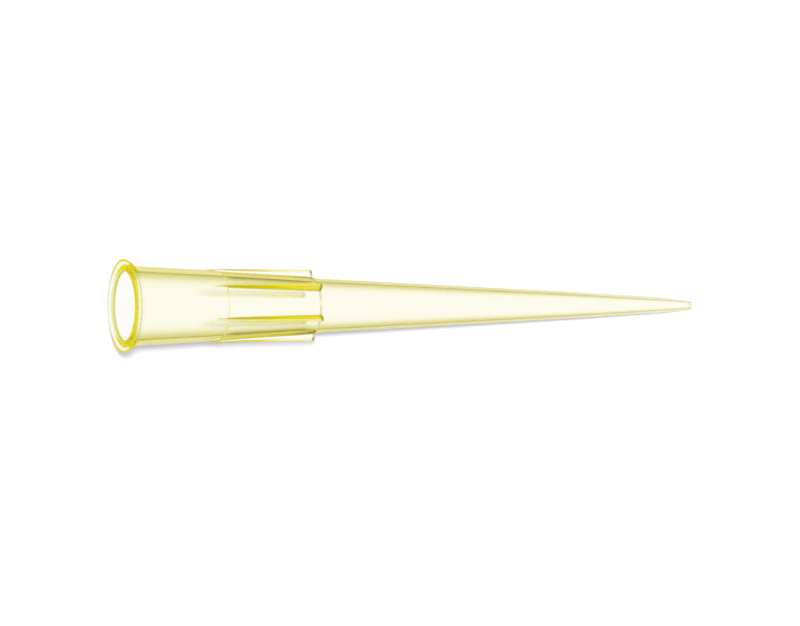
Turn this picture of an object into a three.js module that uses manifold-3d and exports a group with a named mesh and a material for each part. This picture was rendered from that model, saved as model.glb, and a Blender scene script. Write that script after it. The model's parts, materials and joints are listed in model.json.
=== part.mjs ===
// A 200 microlitre pipette tip, moulded as one piece of clear yellow polypropylene.
// All sizes are in millimetres. Stations are measured along the axis from the face of the mouth.
// The tip lies as it comes to rest on the plane z = 0, on the edge of its flange and the shoulder of
// its point, with two ribs just clear either side, the mouth towards -X and the point towards +X.

import * as THREE from "three";
import { mergeVertices } from "three/addons/utils/BufferGeometryUtils.js";
import Module from "manifold-3d";

const wasm = await Module();
wasm.setup();

// Lengths along the axis.
const OVERALL_LENGTH = 50.8;
const HEAD_LENGTH = 16.9; // mouth to the ends of the ribs
const WITNESS_FROM_MOUTH = 8.35; // line where the two halves of the mould meet
const UPPER_CONE_LENGTH = 23.1; // ends of the ribs to the slight bend in the cone
const POINT_LENGTH = 2.4; // the steeper last stretch

// Bore radii, from the mouth to the point.
const MOUTH_BORE_RADIUS = 2.94;
const WITNESS_BORE_RADIUS = 2.53;
const COLLAR_BORE_RADIUS = 2.03;
const BEND_BORE_RADIUS = 0.93;
const POINT_BORE_RADIUS = 0.445;
const ORIFICE_RADIUS = 0.235;

// Wall thickness at the same stations, measured square to the axis.
const MOUTH_WALL = 0.45;
const WITNESS_WALL = 0.42;
const COLLAR_WALL = 0.315;
const BEND_WALL = 0.185;
const POINT_WALL = 0.19;
const ORIFICE_WALL = 0.095;

// The collar under the ribs ends in a small step down to the cone.
const COLLAR_STEP = 0.055;
const COLLAR_CHAMFER_LENGTH = 0.33;

// The flange round the mouth: a flat front, a crisp front edge and a back that slopes to a fillet.
const FLANGE_REACH = 0.54; // how far the flange stands out from the tube behind it
const FLANGE_THICKNESS = 0.42;
const FLANGE_DRAFT = 0.13; // how much the rim narrows towards its back
const FLANGE_EDGE_RADIUS = 0.09;
const FLANGE_FILLET_RADIUS = 0.16;

// Where the mould parts, the tube steps in a little, which leaves a fine line round it.
const WITNESS_STEP = 0.1;
const WITNESS_STEP_LENGTH = 0.1;

// The ribs that grip the rack and stiffen the head.
const RIB_COUNT = 6;
const RIB_THICKNESS = 0.34;
const RIB_CROWN_RADIUS = 3.11; // where the rib first stands at its full height
const RIB_END_RADIUS = 2.99;
const RIB_CROWN_FROM_MOUTH = 8.6;
const RIB_RUN_IN = 3.0; // length over which a rib rises out of the wall
const RIB_EDGE_RADIUS = 0.08;
const RIB_CORNER_RADIUS = 0.12;

// Fineness of the faceted solid.
const TURN_SEGMENTS = 72;
const CURVE_SEGMENTS = 3;
const BEVEL_SEGMENTS = 2;

const stations = [
  { at: 0, bore: MOUTH_BORE_RADIUS, wall: MOUTH_WALL },
  { at: WITNESS_FROM_MOUTH, bore: WITNESS_BORE_RADIUS, wall: WITNESS_WALL },
  { at: HEAD_LENGTH, bore: COLLAR_BORE_RADIUS, wall: COLLAR_WALL },
  { at: HEAD_LENGTH + UPPER_CONE_LENGTH, bore: BEND_BORE_RADIUS, wall: BEND_WALL },
  { at: OVERALL_LENGTH - POINT_LENGTH, bore: POINT_BORE_RADIUS, wall: POINT_WALL },
  { at: OVERALL_LENGTH, bore: ORIFICE_RADIUS, wall: ORIFICE_WALL },
];

const [mouth, witness, collar] = stations;

const outerOf = (station) => station.bore + station.wall;

// The radius, at any station of the head, of a surface that is straight on either side of the
// witness line. The radii are those at the mouth, just before and just past the line, and at the end.
function headRadius(at, atMouth, beforeLine, pastLine, atEnd) {
  return at <= witness.at
    ? THREE.MathUtils.mapLinear(at, mouth.at, witness.at, atMouth, beforeLine)
    : THREE.MathUtils.mapLinear(at, witness.at, collar.at, pastLine, atEnd);
}

// The outside of the tube, which steps in at the witness line.
function tubeRadius(at) {
  const beforeLine = outerOf(witness);
  return headRadius(at, outerOf(mouth), beforeLine, beforeLine - WITNESS_STEP, outerOf(collar));
}

const boreRadius = (at) => headRadius(at, mouth.bore, witness.bore, witness.bore, collar.bore);

// A rib's root lies in the middle of the wall.
const ribRootRadius = (at) => (boreRadius(at) + tubeRadius(at)) / 2;

const flangeRadius = tubeRadius(0) + FLANGE_REACH;

// The flange's outline, from the edge of its front face back to the tube. x is the radius.
function drawFlange(path) {
  const back = FLANGE_THICKNESS;
  const rim = flangeRadius - FLANGE_DRAFT;
  const fillet = Math.min(FLANGE_FILLET_RADIUS, FLANGE_REACH - FLANGE_DRAFT - FLANGE_EDGE_RADIUS);
  path.lineTo(flangeRadius - FLANGE_EDGE_RADIUS, 0);
  path.quadraticCurveTo(flangeRadius, 0, flangeRadius, FLANGE_EDGE_RADIUS);
  path.lineTo(rim, back - FLANGE_EDGE_RADIUS);
  path.quadraticCurveTo(rim, back, rim - FLANGE_EDGE_RADIUS, back);
  path.lineTo(tubeRadius(back) + fillet, back);
  path.quadraticCurveTo(tubeRadius(back), back, tubeRadius(back + fillet), back + fillet);
}

// The small step in the tube where the mould parts.
function drawWitnessStep(path) {
  const end = witness.at + WITNESS_STEP_LENGTH;
  path.lineTo(tubeRadius(witness.at), witness.at);
  path.lineTo(tubeRadius(end), end);
}

// The chamfered end of the collar, and the cone as far as the end of the point.
function drawCollarAndCone(path) {
  const start = HEAD_LENGTH - COLLAR_CHAMFER_LENGTH;
  const cone = stations.slice(3);
  path.lineTo(tubeRadius(start), start);
  path.lineTo(outerOf(collar) - COLLAR_STEP, collar.at);
  cone.forEach((station) => path.lineTo(outerOf(station), station.at));
}

// Half of the tip's section, closed on itself: the outside to the point, and the bore back again.
function tipSection() {
  const path = new THREE.Path();
  path.moveTo(MOUTH_BORE_RADIUS, 0);
  drawFlange(path);
  drawWitnessStep(path);
  drawCollarAndCone(path);
  [...stations].reverse().forEach((station) => path.lineTo(station.bore, station.at));
  return path.getPoints(CURVE_SEGMENTS);
}

// The turned body: flange, tube, collar and cone round the bore, with its axis along +X.
function turnedBody() {
  const body = new THREE.LatheGeometry(tipSection(), TURN_SEGMENTS);
  return body.rotateZ(-Math.PI / 2);
}

// A rib seen from the side: x is the station and y the radius. Its root lies inside the wall.
function ribOutline() {
  const start = RIB_CROWN_FROM_MOUTH - RIB_RUN_IN;
  const corner = RIB_CORNER_RADIUS;
  const outline = new THREE.Shape();
  outline.moveTo(start, ribRootRadius(start));
  outline.quadraticCurveTo(
    RIB_CROWN_FROM_MOUTH - RIB_RUN_IN / 4,
    RIB_CROWN_RADIUS,
    RIB_CROWN_FROM_MOUTH,
    RIB_CROWN_RADIUS,
  );
  outline.lineTo(HEAD_LENGTH - corner, RIB_END_RADIUS);
  outline.quadraticCurveTo(HEAD_LENGTH, RIB_END_RADIUS, HEAD_LENGTH, RIB_END_RADIUS - corner);
  outline.lineTo(HEAD_LENGTH, ribRootRadius(HEAD_LENGTH));
  return outline;
}

// One rib with rounded edges, standing out from the axis along +Y.
function rib() {
  const geometry = new THREE.ExtrudeGeometry(ribOutline(), {
    depth: RIB_THICKNESS - 2 * RIB_EDGE_RADIUS,
    curveSegments: CURVE_SEGMENTS,
    bevelThickness: RIB_EDGE_RADIUS,
    bevelSize: RIB_EDGE_RADIUS,
    bevelOffset: -RIB_EDGE_RADIUS,
    bevelSegments: BEVEL_SEGMENTS,
  });
  return geometry.translate(0, 0, RIB_EDGE_RADIUS - RIB_THICKNESS / 2);
}

function solidFrom(geometry) {
  geometry.deleteAttribute("normal");
  geometry.deleteAttribute("uv");
  const merged = mergeVertices(geometry, 1e-4);
  return new wasm.Manifold(
    new wasm.Mesh({
      numProp: 3,
      vertProperties: merged.attributes.position.array,
      triVerts: new Uint32Array(merged.index.array),
    }),
  );
}

function geometryFrom(solid) {
  const mesh = solid.getMesh();
  const geometry = new THREE.BufferGeometry();
  geometry.setAttribute("position", new THREE.BufferAttribute(mesh.vertProperties, 3));
  geometry.setIndex(new THREE.BufferAttribute(mesh.triVerts, 1));
  geometry.computeVertexNormals();
  return geometry;
}

// The whole tip: the ribs stand at even angles, and two of them straddle the underside.
function tipGeometry() {
  let tip = solidFrom(turnedBody());
  for (let i = 0; i < RIB_COUNT; i++) {
    tip = tip.add(solidFrom(rib().rotateX((i * 2 * Math.PI) / RIB_COUNT)));
  }
  return geometryFrom(tip);
}

// How far the two lowest ribs reach below the axis at their ends, on their rounded edges.
function ribReachBelowAxis() {
  const fromBelow = Math.PI / RIB_COUNT;
  const edgeOut = RIB_END_RADIUS - RIB_EDGE_RADIUS;
  const edgeAside = RIB_THICKNESS / 2 - RIB_EDGE_RADIUS;
  return edgeOut * Math.cos(fromBelow) + edgeAside * Math.sin(fromBelow) + RIB_EDGE_RADIUS;
}

// The slope of the axis at rest: the flange's edge touches the table, and so does whatever comes
// down on it first, the ends of two ribs or the shoulder of the point.
function restingTilt() {
  const slopeOnto = (reach, at) => Math.atan2(flangeRadius - reach, at - FLANGE_EDGE_RADIUS);
  const shoulder = stations.at(-2);
  return Math.min(
    slopeOnto(ribReachBelowAxis(), HEAD_LENGTH - RIB_CORNER_RADIUS),
    slopeOnto(outerOf(shoulder), shoulder.at),
  );
}

const tip = new THREE.Mesh(
  tipGeometry(),
  new THREE.MeshStandardMaterial({
    color: 0xefe79a,
    roughness: 0.18,
    metalness: 0,
    transparent: true,
    opacity: 0.55,
  }),
);
tip.name = "pipette_tip";
tip.rotation.y = restingTilt();

const pipetteTip = new THREE.Group();
pipetteTip.add(tip);

// The group's origin is under the middle of the tip's box, on the table.
const box = new THREE.Box3().setFromObject(pipetteTip, true);
tip.position.set(-(box.min.x + box.max.x) / 2, 0, -box.min.z);

export default pipetteTip;
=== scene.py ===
import json
import math
from collections import namedtuple

import bpy
from mathutils import Matrix, Vector


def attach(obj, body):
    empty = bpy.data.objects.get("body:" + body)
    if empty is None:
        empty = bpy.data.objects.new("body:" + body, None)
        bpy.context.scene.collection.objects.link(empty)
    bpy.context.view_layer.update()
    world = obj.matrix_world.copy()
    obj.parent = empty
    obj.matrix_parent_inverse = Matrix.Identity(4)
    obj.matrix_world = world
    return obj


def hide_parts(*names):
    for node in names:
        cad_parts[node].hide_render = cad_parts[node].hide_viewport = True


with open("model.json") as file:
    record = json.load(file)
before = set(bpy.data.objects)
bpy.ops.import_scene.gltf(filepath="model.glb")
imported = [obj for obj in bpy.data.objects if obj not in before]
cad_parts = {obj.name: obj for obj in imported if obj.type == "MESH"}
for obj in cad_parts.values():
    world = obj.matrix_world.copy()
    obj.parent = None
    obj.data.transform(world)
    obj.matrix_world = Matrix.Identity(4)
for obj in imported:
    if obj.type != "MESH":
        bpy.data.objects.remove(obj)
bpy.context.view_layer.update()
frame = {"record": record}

MM = 0.001

# Sizes of the tip in millimetres, as the construction has them, but for a softer witness step and
# rounder rib edges. Stations run from the mouth.
OVERALL_LENGTH = 50.8
HEAD_LENGTH = 16.9
WITNESS_FROM_MOUTH = 8.35
BEND_FROM_MOUTH = 40.0
POINT_LENGTH = 2.4
SHOULDER_FROM_MOUTH = OVERALL_LENGTH - POINT_LENGTH

# Station, bore radius and wall.
STATIONS = [
    (0.0, 2.94, 0.45),
    (WITNESS_FROM_MOUTH, 2.53, 0.42),
    (HEAD_LENGTH, 2.03, 0.315),
    (BEND_FROM_MOUTH, 0.93, 0.185),
    (SHOULDER_FROM_MOUTH, 0.445, 0.19),
    (OVERALL_LENGTH, 0.235, 0.095),
]

COLLAR_STEP = 0.055
COLLAR_CHAMFER_LENGTH = 0.33
FLANGE_REACH = 0.54
FLANGE_THICKNESS = 0.42
FLANGE_DRAFT = 0.13
FLANGE_EDGE_RADIUS = 0.09
FLANGE_FILLET_RADIUS = 0.16
MOUTH_EDGE_RADIUS = 0.05
WITNESS_STEP = 0.1
WITNESS_STEP_LENGTH = 0.2

RIB_COUNT = 6
RIB_HALF_THICKNESS = 0.17
RIB_DRAFT = 0.02
RIB_CROWN_RADIUS = 3.11
RIB_END_RADIUS = 2.99
RIB_CROWN_FROM_MOUTH = 8.6
RIB_START_FROM_MOUTH = 6.9
RIB_EDGE_RADIUS = 0.1
RIB_FILLET_RADIUS = 0.08
RIB_CORNER_RADIUS = 0.12

MOUNT_RADIUS = 3.4  # the mount on the flange's face lies this far above the axis

# Fineness of the mesh: spacings along the axis in millimetres, steps round rounded corners, and the
# shares of a step or height at which rings and columns lie.
TUBE_SPACING = 0.9
LONG_SPACING = 0.8
RISE_SPACING = 0.1  # where the ribs rise
RIM_STEPS = 5
NECK_STEPS = 6
LIP_STEPS = 3
RIB_EDGE_STEPS = 5
RIB_FILLET_STEPS = 5
RIB_CORNER_STEPS = 6
WITNESS_SHARES = (0, 0.25, 0.5, 0.75, 1)
CROWN_SHARES = (0, 0.34, 0.67, 1)
RIB_END_SHARES = (0.75, 0.5, 0.25, 0.0)
OPEN_COLUMNS = 8  # from a rib's root to midway to the next rib
SHARP_FROM = math.radians(40)

# Light caught in the walls is painted on as a deep yellow glow, with painted shade in its darker
# lines. A look says how much at a point of the mesh:
# glow      painted glow from any side
# slanted   painted glow where the surface is turned away
# edge      painted glow where it is seen nearly along itself
# trap      the share that is caught of light mirrored inside, painted as glow
# shade     painted shade: how dark all this turns
# core      the share that is caught of any light from inside, painted as glow
Look = namedtuple("Look", "glow slanted edge trap shade core", defaults=(0.0,) * 6)
PLAIN = Look()
WALL_END_LOOK = Look(glow=0.05)
FLANGE_FRONT_LOOK = Look(glow=0.05, trap=0.8)
RIM_LOOK = Look(trap=0.9, shade=1.0, core=0.4)
FLANGE_BACK_LOOK = Look(glow=0.7, trap=0.6, shade=0.3)
NECK_LOOK = Look(trap=0.8)
WITNESS_LOOK = Look(glow=0.15, slanted=0.3)
COLLAR_LOOK = Look(glow=0.35)
LIP_LOOK = Look(glow=0.5, trap=1.0, shade=0.45)
BEHIND_LIP_LOOK = LIP_LOOK._replace(glow=0.0)
RIBBED_BORE_LOOK = Look(edge=0.85, shade=0.5)
ORIFICE_LOOK = Look(core=0.6, shade=1.0)
CROWN_LOOK = Look(glow=0.6, edge=0.7, trap=0.5, shade=0.1)
CROWN_EDGE_LOOK = CROWN_LOOK._replace(slanted=0.8)
SIDE_LOOK = Look(slanted=0.98, trap=0.6)
SIDE_TOP_LOOK = Look(glow=1.1, slanted=0.45, trap=0.6)
FOOT_LOOK = Look(edge=0.9)
ROOT_LOOK = Look(edge=1.0)
END_LOOK = Look(glow=0.95, shade=0.85)
SIDE_END_LOOK = Look(glow=0.45, slanted=0.6, shade=0.7)

# Where the looks begin and end along the axis, in millimetres.
WALL_END_SOFTNESS = 0.03  # to either side of where the wall meets the flange's face
NECK_LENGTH = 1.6
WITNESS_MARGIN = 0.03
LIP_LENGTH = 1.0  # the stretch of the bore where light trapped behind the mouth is painted as glow
LIP_BACK = FLANGE_THICKNESS - 0.08  # and the part of it that is painted as glowing from outside too
BEHIND_LIP = (LIP_LENGTH - 0.1, FLANGE_THICKNESS - 0.03)
RIBBED_BORE = (9.5, 16.6)  # the bore's edges are darker behind the ribs, as painted shade
END_SHOWN = 0.2  # the last stretch of the ribs, painted with the glow and shade of their ends
END_GLOWS_FROM = HEAD_LENGTH - END_SHOWN + 0.01
END_FADE = 0.04
COLLAR_PAST_END = 0.03
COLLAR_FADE = 0.05
ORIFICE_FADE = 0.05

# A rib's side at its end: share of the way from its rounded edge to its fillet, and look.
SIDE_COLUMNS = [
    (0.15, SIDE_TOP_LOOK),
    (0.3, SIDE_TOP_LOOK),
    (0.5, SIDE_LOOK),
    (0.75, SIDE_LOOK),
    (0.9, SIDE_LOOK),
]
ROOT_SHARES = (1.0, 0.95, 0.75, 0.5, 0.25)  # how a root's look fades towards the open wall
RISE_SHOWN = 2.5  # a crown has its full look from where it stands at 1 / 2.5 of its height
FOOT_LAG = 0.5  # and a rib's foot has it a little further on
# Station, and there: the share of a crown's painted glow, the share of the painted line along
# its edges, how dark painted shade makes a rib's sides, and how dark it makes its roots.
RIB_STAGES = [
    (8.35, (0.35, 0.8, 0.5, 0.1)),
    (10.0, (0.8, 1.0, 0.5, 0.1)),
    (12.0, (1.0, 1.0, 0.35, 0.15)),
    (14.0, (1.0, 0.5, 0.1, 0.3)),
    (15.6, (1.0, 0.3, 0.05, 0.9)),
    (16.9, (1.0, 0.3, 0.05, 1.3)),
]
# Station, and how far the tip has thinned there, from its head to the shoulder of its point.
SLENDER = [(0.0, 0.0), (HEAD_LENGTH, 0.0), (SHOULDER_FROM_MOUTH, 1.0), (OVERALL_LENGTH, 1.0)]

# Plastic
PLASTIC_IOR = 1.49
ABSORPTION_DENSITY = 60.0
ABSORPTION_COLOUR = (0.986, 0.9, 0.09, 1)
# Fine unevenness of the moulded skin. Scales are per metre, and the height is in metres.
CLOUD_SCALE = 420.0
CLOUD_ROUGHNESS = 0.6
RIPPLE_SCALE = 900.0
RIPPLE_HEIGHT = 0.00002
RIPPLE_STRENGTH = 0.25
GLOSS_FROM = 0.05
GLOSS_TO = 0.12
DULL_BORE = 0.14
# Light that passes from the wall into the bore, by its Fresnel share: the longer its way through
# the wall, the deeper the yellow, and the darker the painted shade along the bore's edges.
BORE_TINT_AND_SHADE_STOPS = [
    (0.0, (1.0, 1.0, 1.0)),
    (0.042, (0.996, 0.986, 0.876)),
    (0.051, (0.977, 0.959, 0.77)),
    (0.06, (0.938, 0.911, 0.668)),
    (0.08, (0.836, 0.817, 0.495)),
    (0.12, (0.79, 0.736, 0.339)),
    (0.17, (0.826, 0.771, 0.295)),
    (0.26, (0.799, 0.753, 0.235)),
    (0.36, (0.755, 0.702, 0.217)),
    (0.6, (0.622, 0.56, 0.182)),
    (1.0, (0.49, 0.436, 0.137)),
]
# Light mirrored in the wall has run some way along it, and its colour goes by the wall's slant.
SHINE_POWER = 2.0
PIPED_STOPS = [
    (0.25, (0.86, 0.82, 0.33)),
    (0.3, (0.98, 0.95, 0.55)),
    (0.36, (1.0, 0.985, 0.68)),
]
PIPED_AT_POINT = (1.0, 0.99, 0.93, 1)
PIPED_PALES = 0.65  # the share of that colour at the shoulder of the point
# The haze of light caught in the walls, painted as a deep yellow glow that painted shade darkens,
# and how aslant a surface is where its looks set in.
HAZE_AND_GLOW_COLOUR = (0.94, 0.83, 0.0, 1)
SHADED_COLOUR = (0.25, 0.22, 0.0, 1)
SHADE_KEPT_INSIDE = 0.3
SLANTED_FACING = (0.08, 0.4)
EDGE_FACING = (0.54, 0.76)
HAZE_AND_GLOW_IN_SKIN = 0.4
HAZE_AND_GLOW_IN_BORE = 0.08
HAZE_GLOWING = 0.9
# What a wall lets through of a lamp's light, by how aslant it is, and of light off the floor.
SHADOW_STOPS = [
    (0.0, (0.68, 0.68, 0.74)),
    (0.25, (0.55, 0.55, 0.62)),
    (0.5, (0.35, 0.35, 0.43)),
    (1.0, (0.25, 0.25, 0.34)),
]
VEIL_COLOUR = (0.96, 0.96, 0.98, 1)

# Light
WHITE = (1, 1, 1, 1)
FLOOR_HALF = 2.0
FLOOR_COLOUR = (0.95, 0.95, 0.95, 1)
FLOOR_LIFT = 0.06
FLOOR_THROUGH = 1.0
SKY_SEEN = 1.0
SKY_LIGHT = 0.5
SUN_STRENGTH = 1.85
SUN_WIDTH = math.radians(9)
SUN_TOWARDS = (0.28, -0.005, -1.0)

# Camera
SIGHT_OFF_MOUTH_PLANE = math.radians(20.4)
SIGHT_ASIDE = math.radians(6.0)
CAMERA_DISTANCE = 2.0
CAMERA_ROLL = math.radians(0.1)
CAMERA_REACH = 10
FIELD_WIDTH = 66.85
AIM_ALONG = 23.16
AIM_BELOW = 0.63


def between(value, table):
    """The straight line through the table's points, at value."""
    for (a, fa), (b, fb) in zip(table, table[1:]):
        if value <= b:
            break
    return fa + (fb - fa) * (value - a) / (b - a)


def eased(share):
    """From 0 to 1 with a soft start and end."""
    return share * share * (3 - 2 * share)


def bore_radius(at):
    return between(at, [(s, bore) for s, bore, wall in STATIONS])


def tube_radius(at):
    """The outside of the head, which steps in a little past the witness line."""
    outside = [(s, bore + wall) for s, bore, wall in STATIONS[:3]]
    if at <= WITNESS_FROM_MOUTH:
        return between(at, outside[:2])
    return between(at, [(WITNESS_FROM_MOUTH, outside[1][1] - WITNESS_STEP), outside[2]])


CONE_TOP_RADIUS = tube_radius(HEAD_LENGTH) - COLLAR_STEP
RIB_END_HEIGHT = RIB_END_RADIUS - tube_radius(HEAD_LENGTH)


def rib_height(at, base):
    """How far a rib's crown stands out from a base radius at a station."""
    crown = between(at, [(RIB_CROWN_FROM_MOUTH, RIB_CROWN_RADIUS), (HEAD_LENGTH, RIB_END_RADIUS)])
    rise = (at - RIB_START_FROM_MOUTH) / (RIB_CROWN_FROM_MOUTH - RIB_START_FROM_MOUTH)
    height = (crown - base) * eased(min(1.0, max(0.0, rise)))
    into_corner = min(RIB_CORNER_RADIUS, max(0.0, at - (HEAD_LENGTH - RIB_CORNER_RADIUS)))
    return height - RIB_CORNER_RADIUS + math.sqrt(RIB_CORNER_RADIUS ** 2 - into_corner ** 2)


def arc(corner, start, end, steps):
    """Points of a rounded corner from start to end, a quadratic curve drawn towards corner."""
    points = []
    for i in range(1, steps + 1):
        t = i / steps
        points.append(tuple((1 - t) ** 2 * a + 2 * t * (1 - t) * c + t * t * b
                            for a, c, b in zip(start, corner, end)))
    return points


def stretch(start, end, spacing):
    """Even points from start to end, without start."""
    count = max(1, math.ceil(abs(end[0] - start[0]) / spacing))
    return [tuple(a + (b - a) * i / count for a, b in zip(start, end)) for i in range(1, count + 1)]


def flange_rows():
    """(station, radius, look) of each ring from the flange's face to the neck behind it."""
    flange = tube_radius(0) + FLANGE_REACH
    rim = flange - FLANGE_DRAFT
    back, edge = FLANGE_THICKNESS, FLANGE_EDGE_RADIUS
    rows = [
        (0, tube_radius(0) - WALL_END_SOFTNESS, WALL_END_LOOK),
        (0, tube_radius(0) + WALL_END_SOFTNESS, NECK_LOOK),
        (0, flange - edge, FLANGE_FRONT_LOOK),
    ]
    front = arc((0, flange), (0, flange - edge), (edge, flange), RIM_STEPS)
    rows += [(s, r, FLANGE_FRONT_LOOK) for s, r in front]
    side = [(edge, flange), (back - edge, rim)]
    rows += [(s, between(s, side), RIM_LOOK) for s in (edge * 2, back - edge * 2)]
    rows += [(back - edge, rim, FLANGE_BACK_LOOK)]
    rear = arc((back, rim), (back - edge, rim), (back, rim - edge), RIM_STEPS)
    rows += [(s, r, FLANGE_BACK_LOOK) for s, r in rear]
    start = (back, tube_radius(back) + FLANGE_FILLET_RADIUS)
    end = (back + FLANGE_FILLET_RADIUS, tube_radius(back + FLANGE_FILLET_RADIUS))
    fillet = [start] + arc((back, tube_radius(back)), start, end, NECK_STEPS)
    return rows + [(s, r, NECK_LOOK) for s, r in fillet]


def plain_tube(start, end, spacing):
    """(station, radius, look) of plain rings along the tube, without one at start."""
    return [(s, tube_radius(s), PLAIN) for s, _ in stretch((start, 0), (end, 0), spacing)]


def tube_rows():
    """(station, radius, look) of each ring from the neck to the chamfer at the collar's end."""
    line_end = WITNESS_FROM_MOUTH + WITNESS_STEP_LENGTH
    before, past = WITNESS_FROM_MOUTH - WITNESS_MARGIN, line_end + WITNESS_MARGIN
    rows = [(NECK_LENGTH, tube_radius(NECK_LENGTH), NECK_LOOK)]
    rows += plain_tube(NECK_LENGTH, RIB_START_FROM_MOUTH, TUBE_SPACING)
    rows += plain_tube(RIB_START_FROM_MOUTH, before, RISE_SPACING)
    step_top, step_foot = tube_radius(WITNESS_FROM_MOUTH), tube_radius(line_end)
    for t in WITNESS_SHARES:
        radius = step_top + (step_foot - step_top) * eased(t)
        rows += [(WITNESS_FROM_MOUTH + t * WITNESS_STEP_LENGTH, radius, WITNESS_LOOK)]
    rows += [(past, tube_radius(past), PLAIN)]
    rows += plain_tube(past, RIB_CROWN_FROM_MOUTH, RISE_SPACING)
    chamfer = HEAD_LENGTH - COLLAR_CHAMFER_LENGTH
    return rows + plain_tube(RIB_CROWN_FROM_MOUTH, chamfer, LONG_SPACING)


def collar_rows():
    """(station, radius, look) of each ring along the chamfer at the collar's end."""
    chamfer = HEAD_LENGTH - COLLAR_CHAMFER_LENGTH
    collar = [(chamfer, tube_radius(chamfer)), (HEAD_LENGTH, CONE_TOP_RADIUS)]
    stops = [(END_GLOWS_FROM - END_FADE, PLAIN), (END_GLOWS_FROM, COLLAR_LOOK)]
    for i in range(RIB_CORNER_STEPS + 1):
        left = RIB_CORNER_RADIUS * (1 - math.sin(i * math.pi / (2 * RIB_CORNER_STEPS)))
        stops += [(HEAD_LENGTH - left, COLLAR_LOOK)]
    return [(s, between(s, collar), look) for s, look in stops]


def cone_rows():
    """(station, radius, look) of each ring along the cone, to the rim of its orifice."""
    cone = [(HEAD_LENGTH, CONE_TOP_RADIUS)] + [(s, bore + wall) for s, bore, wall in STATIONS[3:]]
    rows = []
    at = HEAD_LENGTH
    for length, look in ((COLLAR_PAST_END, COLLAR_LOOK), (COLLAR_FADE, PLAIN)):
        at += length
        rows += [(at, between(at, cone), look)]
    cone[0] = rows[-1][:2]
    for start, end in zip(cone, cone[1:]):
        rows += [(s, r, PLAIN) for s, r in stretch(start, end, LONG_SPACING)]
    near_end = OVERALL_LENGTH - ORIFICE_FADE
    rows[-1] = (near_end, between(near_end, cone[-2:]), PLAIN)
    return rows + [(*cone[-1], ORIFICE_LOOK)]


def outer_rows():
    """(station, radius, rib height, look) of each ring of the outside, from the mouth."""
    ribbed = flange_rows() + tube_rows() + collar_rows()
    body = [(s, r, rib_height(s, r), look) for s, r, look in ribbed]
    full = body[-1][2]
    body += [(HEAD_LENGTH, CONE_TOP_RADIUS, full * share, COLLAR_LOOK) for share in RIB_END_SHARES]
    return body + [(s, r, 0.0, look) for s, r, look in cone_rows()]


def inner_rows():
    """(station, radius, 0, look) of each ring of the bore, from the point's end to the mouth."""
    edge = MOUTH_EDGE_RADIUS
    bore = [(LIP_LENGTH, bore_radius(LIP_LENGTH))] + [(s, b) for s, b, wall in STATIONS[1:]]
    rows = []
    for start, end in zip(bore, bore[1:]):
        rows += stretch(start, end, LONG_SPACING)
    ribs_start, ribs_end = RIBBED_BORE
    looks = [RIBBED_BORE_LOOK if ribs_start < s < ribs_end else PLAIN for s, _ in rows]
    rows = [(s, r, look) for (s, r), look in zip(rows, looks)]
    near_end = OVERALL_LENGTH - ORIFICE_FADE
    rows[-1:] = [(near_end, bore_radius(near_end), PLAIN), (*bore[-1], ORIFICE_LOOK)]
    rows = rows[::-1] + [(*bore[0], PLAIN)]
    rows += [(s, bore_radius(s), BEHIND_LIP_LOOK) for s in BEHIND_LIP]
    rows += [(s, bore_radius(s), LIP_LOOK) for s in (LIP_BACK, 2 * edge, edge)]
    end = (0, bore_radius(0) + edge)
    lip = arc((0, bore_radius(0)), (edge, bore_radius(edge)), end, LIP_STEPS)
    rows += [(s, r, WALL_END_LOOK) for s, r in lip]
    return [(s, r, 0.0, look) for s, r, look in rows]


def quarter_turn(steps):
    """The angles of a rounded corner, without the first."""
    return [i / steps * math.pi / 2 for i in range(1, steps + 1)]


def rib_columns():
    """Half of one rib's section at its end, from the crown's middle to midway to the next rib.

    Each column is (distance aside, share of the rib's height, look)."""
    height = RIB_END_HEIGHT
    edge, fillet = RIB_EDGE_RADIUS, RIB_FILLET_RADIUS
    top, foot = RIB_HALF_THICKNESS - RIB_DRAFT, RIB_HALF_THICKNESS + RIB_DRAFT
    columns = [(share * (top - edge), 1.0, CROWN_LOOK) for share in CROWN_SHARES]
    for a in quarter_turn(RIB_EDGE_STEPS):
        aside, up = top - edge + edge * math.sin(a), 1 - edge * (1 - math.cos(a)) / height
        columns += [(aside, up, CROWN_EDGE_LOOK)]
    low, high = fillet / height, columns[-1][1]
    for t, look in SIDE_COLUMNS:
        columns += [(top + (foot - top) * t, high + (low - high) * t, look)]
    columns += [(foot, low, FOOT_LOOK)]
    for a in quarter_turn(RIB_FILLET_STEPS):
        aside, up = foot + fillet * (1 - math.cos(a)), fillet * (1 - math.sin(a)) / height
        columns += [(aside, up, FOOT_LOOK)]
    return columns


COLUMNS = rib_columns()


def ring(at, radius, height, parallel):
    """The points of one ring as (along, aside, across) in millimetres, a sector for each rib.

    Parallel sides keep their distance apart along a rib. The others taper with the radius."""
    half = []
    spread = radius if parallel else CONE_TOP_RADIUS
    for aside, share, _ in COLUMNS:
        angle = math.asin(aside / spread)
        half.append((radius * math.sin(angle), radius * math.cos(angle) + share * height))
    last = math.asin(COLUMNS[-1][0] / spread)
    limit = math.pi / RIB_COUNT
    for i in range(1, OPEN_COLUMNS + 1):
        angle = last + (limit - last) * i / OPEN_COLUMNS
        half.append((radius * math.sin(angle), radius * math.cos(angle)))
    sector = [(-a, out) for a, out in half[:0:-1]] + half[:-1]
    points = []
    for k in range(RIB_COUNT):
        turn = 2 * math.pi * k / RIB_COUNT
        cos, sin = math.cos(turn), math.sin(turn)
        for aside, out in sector:
            points.append((at, out * cos - aside * sin, out * sin + aside * cos))
    return points


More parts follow.
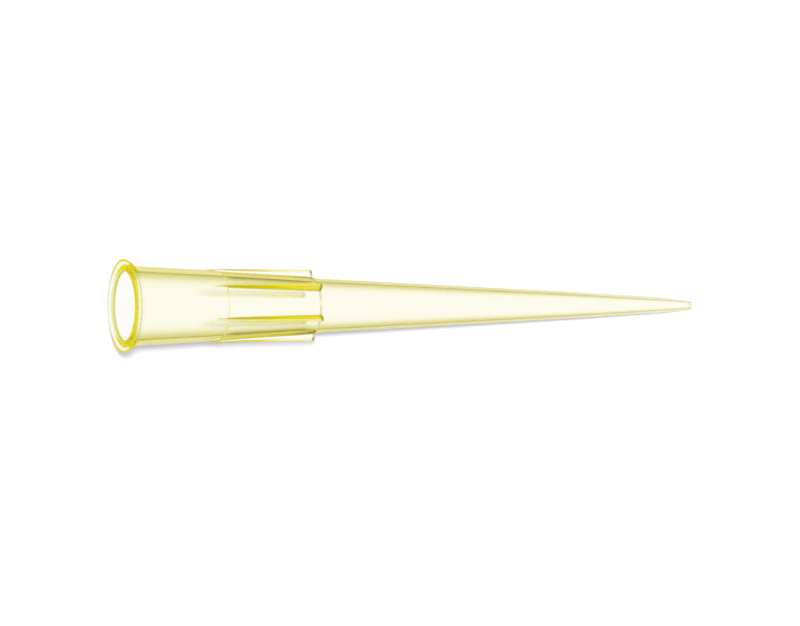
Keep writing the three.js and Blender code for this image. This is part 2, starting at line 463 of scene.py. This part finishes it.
def staged(at, own):
    """The look of a part of the rib's section at a station."""
    at = max(at, RIB_STAGES[0][0])
    crown, line, sides, roots = [between(at, [(s, v[i]) for s, v in RIB_STAGES]) for i in range(4)]
    if own in (CROWN_LOOK, CROWN_EDGE_LOOK):
        shade = max(own.shade, sides) if own == CROWN_EDGE_LOOK else own.shade
        return own._replace(glow=own.glow * crown, slanted=own.slanted * line, shade=shade)
    if own in (SIDE_LOOK, SIDE_TOP_LOOK):
        return own._replace(glow=own.glow * line, shade=sides)
    return own._replace(shade=roots)


def ring_look(at, height, look):
    """The look of each point of a ring: the body's own, and the ribs' where they stand up."""
    risen = RISE_SHOWN * height / RIB_END_HEIGHT
    on_end = HEAD_LENGTH - END_SHOWN < at <= HEAD_LENGTH
    half = [look] * (len(COLUMNS) + OPEN_COLUMNS)
    if risen > 0 or on_end:
        for i, (_, _, kind) in enumerate(COLUMNS):
            own = staged(at, kind)
            share = min(1.0, max(0.0, risen - FOOT_LAG * i / len(COLUMNS)))
            most = [max(a, b * share) for a, b in zip(look, own)]
            half[i] = Look(*most)._replace(shade=own.shade)
            if on_end and kind != FOOT_LOOK:
                half[i] = SIDE_END_LOOK if kind == SIDE_LOOK else END_LOOK
        root = staged(at, ROOT_LOOK)
        share = min(1.0, max(0.0, risen - FOOT_LAG))
        for i, kept in enumerate(ROOT_SHARES):
            edge = root.edge * share * kept
            half[len(COLUMNS) + i] = look._replace(edge=edge, shade=root.shade)
    return (half[:0:-1] + half[:-1]) * RIB_COUNT


def tip_frame():
    """The tip's own frame: X along the axis from the middle of the mouth, Y aside, Z across."""
    mount = next(m for m in frame["record"]["mounts"] if m["name"] == "mouth_rim")
    along = -Vector(mount["axis"]).normalized()
    aside = Vector((0, 1, 0))
    across = along.cross(aside)
    origin = Vector(mount["pos_m"]) - across * MOUNT_RADIUS * MM
    turn = Matrix((along, aside, across)).transposed().to_4x4()
    return Matrix.Translation(origin) @ turn


def make_tip():
    """One closed tube of rings, out along the outside and back along the bore."""
    place = tip_frame()
    outer, inner = outer_rows(), inner_rows()
    rows = [ring(s, r, h, s <= HEAD_LENGTH) for s, r, h, _ in outer]
    rows += [ring(s, r, h, False) for s, r, h, _ in inner]
    count = len(rows[0])
    vertices = [place @ (Vector(p) * MM) for row in rows for p in row]
    faces = []
    for i in range(len(rows)):
        j = (i + 1) % len(rows)
        for k in range(count):
            m = (k + 1) % count
            faces.append((i * count + m, j * count + m, j * count + k, i * count + k))
    mesh = bpy.data.meshes.new("tip")
    mesh.from_pydata(vertices, [], faces)
    mesh.polygons.foreach_set("use_smooth", [True] * len(mesh.polygons))
    mesh.update()
    mesh.set_sharp_from_angle(angle=SHARP_FROM)

    # Each point's look, its painted glow and painted shade, goes onto the mesh.
    looks = [look for s, _, h, own in outer for look in ring_look(s, h, own)]
    looks += [look for _, _, _, look in inner for _ in range(count)]
    kept = dict(zip(Look._fields, zip(*looks)))
    kept["bore"] = [0.0] * (count * len(outer)) + [1.0] * (count * len(inner))
    kept["slender"] = [between(s, SLENDER) for s, _, _, _ in outer + inner for _ in range(count)]
    for name, values in kept.items():
        mesh.attributes.new(name, "FLOAT", "POINT").data.foreach_set("value", values)
    tip = bpy.data.objects.new("tip", mesh)
    bpy.context.collection.objects.link(tip)
    return tip


def feed(tree, value, socket):
    """Links an output to a socket, or sets the socket to a number or colour."""
    if isinstance(value, bpy.types.NodeSocket):
        tree.links.new(value, socket)
    else:
        socket.default_value = value


def node(tree, kind, **values):
    """A node, with its inputs fed by name."""
    made = tree.nodes.new(kind)
    for name, value in values.items():
        feed(tree, value, made.inputs[name.replace("_", " ")])
    return made


def maths(tree, operation, *values):
    """The result of a Math node."""
    made = tree.nodes.new("ShaderNodeMath")
    made.operation = operation
    for socket, value in zip(made.inputs, values):
        feed(tree, value, socket)
    return made.outputs[0]


def mix(tree, share, first, second):
    """The first shader, with a share of the second."""
    made = tree.nodes.new("ShaderNodeMixShader")
    for socket, value in zip(made.inputs, (share, first, second)):
        feed(tree, value, socket)
    return made.outputs[0]


def mix_colours(tree, share, first, second):
    """The first colour, with a share of the second."""
    made = tree.nodes.new("ShaderNodeMix")
    made.data_type = "RGBA"
    for name, value in (("Factor", share), ("A", first), ("B", second)):
        feed(tree, value, made.inputs[name])
    return made.outputs["Result"]


def ramp_of(tree, driver, stops):
    """A colour ramp through (position, colour) stops, read at an output."""
    ramp = node(tree, "ShaderNodeValToRGB", Fac=driver)
    elements = ramp.color_ramp.elements
    for at, _ in stops[2:]:
        elements.new(at)
    for element, (at, shade) in zip(elements, stops):
        element.position = at
        element.color = (*shade, 1)
    return ramp.outputs["Color"]


def mask(tree, name):
    """What the mesh keeps under a name."""
    made = tree.nodes.new("ShaderNodeAttribute")
    made.attribute_name = name
    return made.outputs["Fac"]


def new_tree(owner):
    """The emptied node tree of a material or world."""
    owner.use_nodes = True
    owner.node_tree.nodes.clear()
    return owner.node_tree


def clear_body(tree, bore, inside, mirrored, facing):
    """Clear plastic that bends light, and the light mirrored in it, with a moulded skin."""
    place = tree.nodes.new("ShaderNodeTexCoord").outputs["Object"]
    cloud = node(tree, "ShaderNodeTexNoise", Vector=place, Scale=CLOUD_SCALE, Detail=4.0,
                 Roughness=CLOUD_ROUGHNESS)
    gloss = node(tree, "ShaderNodeMapRange", Value=cloud.outputs["Fac"], To_Min=GLOSS_FROM,
                 To_Max=GLOSS_TO)
    rough = maths(tree, "MULTIPLY_ADD", bore, DULL_BORE, gloss.outputs["Result"])
    ripple = node(tree, "ShaderNodeTexNoise", Vector=place, Scale=RIPPLE_SCALE, Detail=3.0)
    bump = node(tree, "ShaderNodeBump", Strength=RIPPLE_STRENGTH, Distance=RIPPLE_HEIGHT,
                Height=ripple.outputs["Fac"])
    skin = {"Roughness": rough, "Normal": bump.outputs["Normal"]}

    # Light passing into the bore is tinted by its Fresnel share, deeper yellow and darker as
    # painted shade.
    into_bore = maths(tree, "MULTIPLY", maths(tree, "MULTIPLY", mirrored, bore), inside)
    tint_and_shade = ramp_of(tree, into_bore, BORE_TINT_AND_SHADE_STOPS)
    bent = node(tree, "ShaderNodeBsdfRefraction", Color=tint_and_shade, IOR=PLASTIC_IOR, **skin)
    paler = maths(tree, "MULTIPLY", mask(tree, "slender"), PIPED_PALES)
    piped = mix_colours(tree, paler, ramp_of(tree, facing, PIPED_STOPS), PIPED_AT_POINT)
    shine = node(tree, "ShaderNodeBsdfAnisotropic", Color=piped, **skin)
    share = maths(tree, "POWER", mirrored, SHINE_POWER)
    return mix(tree, share, bent.outputs[0], shine.outputs[0])


def caught_light(tree, bore, inside, mirrored, facing):
    """The deep yellow haze of light caught in the walls, painted as glow and shade, and its share.
    """
    glow, slanted, edge, trap, shade, core = (mask(tree, name) for name in Look._fields)
    # Painted shade darkens the glow's colour, less so where it is seen from inside.
    kept = maths(tree, "MULTIPLY_ADD", inside, SHADE_KEPT_INSIDE - 1.0, 1.0)
    painted_shade_share = maths(tree, "MULTIPLY", shade, kept)
    glow_and_shade_colour = mix_colours(tree, painted_shade_share, HAZE_AND_GLOW_COLOUR, SHADED_COLOUR)
    front = node(tree, "ShaderNodeBsdfDiffuse", Color=glow_and_shade_colour)
    through = node(tree, "ShaderNodeBsdfTranslucent", Color=glow_and_shade_colour)
    haze_and_glow = mix(tree, inside, front.outputs[0], through.outputs[0])

    for strength, (low, high) in ((slanted, SLANTED_FACING), (edge, EDGE_FACING)):
        turned = node(tree, "ShaderNodeMapRange", Value=facing, From_Min=low, From_Max=high)
        glow = maths(tree, "MULTIPLY_ADD", strength, turned.outputs["Result"], glow)
    # The painted glow, and the glow painted where light is caught by mirroring inside.
    glow = maths(tree, "MULTIPLY", glow, maths(tree, "SUBTRACT", 1.0, inside))
    least = maths(tree, "MULTIPLY_ADD", bore, HAZE_AND_GLOW_IN_BORE - HAZE_AND_GLOW_IN_SKIN, HAZE_AND_GLOW_IN_SKIN)
    piped = maths(tree, "MULTIPLY", mirrored, inside)
    caught_glow = maths(tree, "MULTIPLY", piped, maths(tree, "MAXIMUM", least, trap))
    caught_glow = maths(tree, "MAXIMUM", caught_glow, maths(tree, "MULTIPLY", core, inside))
    return haze_and_glow, maths(tree, "MULTIPLY_ADD", glow, HAZE_GLOWING, caught_glow)


def clear_plastic():
    material = bpy.data.materials.new("clear_yellow_polypropylene")
    tree = new_tree(material)
    inside = tree.nodes.new("ShaderNodeNewGeometry").outputs["Backfacing"]
    mirrored = node(tree, "ShaderNodeFresnel", IOR=PLASTIC_IOR).outputs["Fac"]
    facing = tree.nodes.new("ShaderNodeLayerWeight").outputs["Facing"]
    drivers = (mask(tree, "bore"), inside, mirrored, facing)
    # The painted glow and painted shade of caught light, mixed over the clear body.
    haze_and_glow, share = caught_light(tree, *drivers)
    surface = mix(tree, share, clear_body(tree, *drivers), haze_and_glow)

    # Lamps shine through, less so where they graze a wall.
    path = tree.nodes.new("ShaderNodeLightPath")
    in_shadow = path.outputs["Is Shadow Ray"]
    shadow = ramp_of(tree, facing, SHADOW_STOPS)
    clear = node(tree, "ShaderNodeBsdfTransparent", Color=shadow)
    surface = mix(tree, in_shadow, surface, clear.outputs[0])
    # Light scattered by the floor passes almost as it is, so that no colour falls back on it.
    veil = node(tree, "ShaderNodeBsdfTransparent", Color=VEIL_COLOUR)
    lit = maths(tree, "SUBTRACT", 1.0, in_shadow)
    spared = maths(tree, "MULTIPLY", path.outputs["Is Diffuse Ray"], lit)
    surface = mix(tree, spared, surface, veil.outputs[0])

    absorb = node(tree, "ShaderNodeVolumeAbsorption", Color=ABSORPTION_COLOUR,
                  Density=ABSORPTION_DENSITY)
    node(tree, "ShaderNodeOutputMaterial", Surface=surface, Volume=absorb.outputs[0])
    return material


def seen_rays(tree):
    """1 for what the camera sees, also in gloss and through the plastic, and 0 for other light."""
    path = tree.nodes.new("ShaderNodeLightPath").outputs
    direct = maths(tree, "MAXIMUM", path["Is Camera Ray"], path["Is Glossy Ray"])
    return maths(tree, "MAXIMUM", direct, path["Is Transmission Ray"])


def make_floor():
    half = FLOOR_HALF
    corners = [(-half, -half, 0), (half, -half, 0), (half, half, 0), (-half, half, 0)]
    mesh = bpy.data.meshes.new("floor")
    mesh.from_pydata(corners, [], [(0, 1, 2, 3)])
    floor = bpy.data.objects.new("floor", mesh)
    bpy.context.collection.objects.link(floor)
    material = bpy.data.materials.new("floor_white")
    tree = new_tree(material)
    paint = node(tree, "ShaderNodeBsdfDiffuse", Color=FLOOR_COLOUR)
    strength = maths(tree, "MULTIPLY", seen_rays(tree), FLOOR_LIFT)
    lift = node(tree, "ShaderNodeEmission", Strength=strength)
    both = tree.nodes.new("ShaderNodeAddShader")
    for socket, shader in zip(both.inputs, (paint, lift)):
        feed(tree, shader.outputs[0], socket)
    # Through the plastic the floor is the plain white of the background.
    plain = node(tree, "ShaderNodeEmission", Strength=FLOOR_THROUGH)
    through = tree.nodes.new("ShaderNodeLightPath").outputs["Is Transmission Ray"]
    seen = mix(tree, through, both.outputs[0], plain.outputs[0])
    node(tree, "ShaderNodeOutputMaterial", Surface=seen)
    mesh.materials.append(material)


def make_world():
    world = bpy.data.worlds.new("studio")
    bpy.context.scene.world = world
    tree = new_tree(world)
    back = node(tree, "ShaderNodeBackground", Color=WHITE, Strength=SKY_SEEN)
    soft = node(tree, "ShaderNodeBackground", Color=WHITE, Strength=SKY_LIGHT)
    seen = mix(tree, seen_rays(tree), soft.outputs[0], back.outputs[0])
    node(tree, "ShaderNodeOutputWorld", Surface=seen)


def make_lamp():
    lamp = bpy.data.lights.new("key", "SUN")
    lamp.energy = SUN_STRENGTH
    lamp.angle = SUN_WIDTH
    key = bpy.data.objects.new("key", lamp)
    bpy.context.collection.objects.link(key)
    key.visible_glossy = False
    key.visible_transmission = False
    key.rotation_euler = Vector(SUN_TOWARDS).to_track_quat("-Z", "Y").to_euler()


def make_camera():
    place = tip_frame()
    along, aside, across = place.to_3x3().transposed()
    facing = across * math.cos(SIGHT_ASIDE) - aside * math.sin(SIGHT_ASIDE)
    back = facing * math.cos(SIGHT_OFF_MOUTH_PLANE) - along * math.sin(SIGHT_OFF_MOUTH_PLANE)
    right = (along - back * along.dot(back)).normalized()
    up = back.cross(right)
    aim = place.translation + (right * AIM_ALONG - up * AIM_BELOW) * MM
    lens = bpy.data.cameras.new("camera")
    lens.lens = lens.sensor_width * CAMERA_DISTANCE / (FIELD_WIDTH * MM)
    lens.clip_end = CAMERA_REACH
    camera = bpy.data.objects.new("camera", lens)
    bpy.context.collection.objects.link(camera)
    turn = Matrix((right, up, back)).transposed() @ Matrix.Rotation(-CAMERA_ROLL, 3, "Z")
    camera.matrix_world = Matrix.Translation(aim + back * CAMERA_DISTANCE) @ turn.to_4x4()
    bpy.context.scene.camera = camera


make_camera()
make_world()
make_lamp()
make_floor()
tip = make_tip()
tip.data.materials.append(clear_plastic())
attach(tip, "root")
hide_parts("pipette_tip")

bpy.context.scene.view_settings.view_transform = "Standard"
